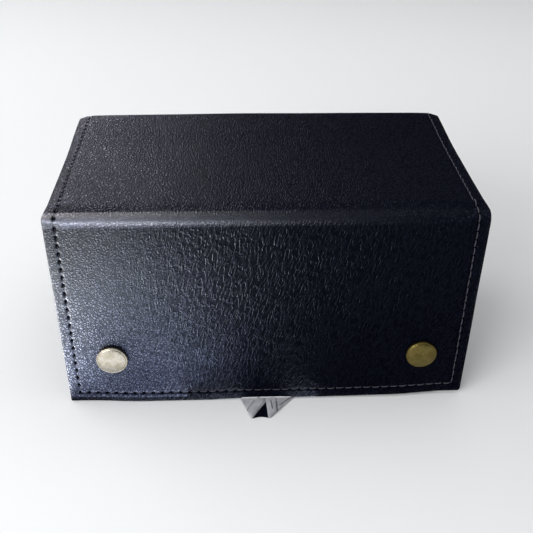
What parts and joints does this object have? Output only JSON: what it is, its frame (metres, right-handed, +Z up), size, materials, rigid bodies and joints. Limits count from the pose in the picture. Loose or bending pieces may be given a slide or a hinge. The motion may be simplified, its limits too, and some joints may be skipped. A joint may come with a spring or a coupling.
{
  "type": "glasses storage box",
  "caption": "Folding leather storage box for glasses: stitched wrap-round cover with a snap flap over divided trays that stand mouth to mouth.",
  "frame": {"origin": "centre of the underside of the base panel, on the surface that the closed box stands on", "axes": "+X along the box to the right as seen from the front, -Y towards the front with the snap flap, +Z up"},
  "size_m": [0.196, 0.1315, 0.105],
  "materials": {
    "cover_leather": "pebbled, satin",
    "tray_leather": "smooth, satin",
    "suede": "brushed suede cloth",
    "ribbon": "brushed suede ribbon",
    "board": "grey board",
    "thread": "waxed thread",
    "cap_brass": "antique, brushed",
    "snap_brass": "antique, plain"
  },
  "bodies": {
    "base": {"base_cover": "cover_leather", "base_board": "board", "base_lining": "suede", "base_stitching": "thread", "bottom_back_fold": "cover_leather", "lower_tray_skin": "tray_leather", "lower_tray_shell": "board", "lower_tray_lining": "suede", "lower_divider_board": "board", "lower_divider_sleeve": "suede", "snap_stud_left": "snap_brass", "snap_stud_right": "snap_brass", "snap_post_left": "snap_brass", "snap_post_right": "snap_brass"},
    "back": {"back_cover": "cover_leather", "back_board": "board", "back_lining": "suede", "back_stitching": "thread", "top_back_fold": "cover_leather"},
    "lid": {"lid_cover": "cover_leather", "lid_board": "board", "lid_lining": "suede", "lid_stitching": "thread", "top_front_fold": "cover_leather", "upper_tray_skin": "tray_leather", "upper_tray_shell": "board", "upper_tray_lining": "suede", "upper_divider_board": "board", "upper_divider_sleeve": "suede"},
    "flap": {"flap_cover": "cover_leather", "flap_board": "board", "flap_lining": "suede", "flap_stitching": "thread", "snap_cap_left": "cap_brass", "snap_cap_right": "cap_brass", "snap_socket_left": "snap_brass", "snap_socket_right": "snap_brass", "pull_tab": "ribbon", "pull_tab_tongue": "cover_leather"}
  },
  "joints": [
    {"name": "back_fold", "type": "hinge", "parent": "base", "child": "back", "pos_m": [0, 0.05689, 0.00136], "axis": [-1, 0, 0], "range_deg": [0, 90]},
    {"name": "lid_fold", "type": "hinge", "parent": "back", "child": "lid", "pos_m": [0, 0.05689, 0.10364], "axis": [-1, 0, 0], "range_deg": [0, 90]},
    {"name": "flap_fold", "type": "hinge", "parent": "lid", "child": "flap", "pos_m": [0, -0.05689, 0.10364], "axis": [-1, 0, 0], "range_deg": [0, 90]}
  ],
  "couplings": [
    {"joint": "back_fold", "follows": "lid_fold", "ratio": 1}
  ]
}
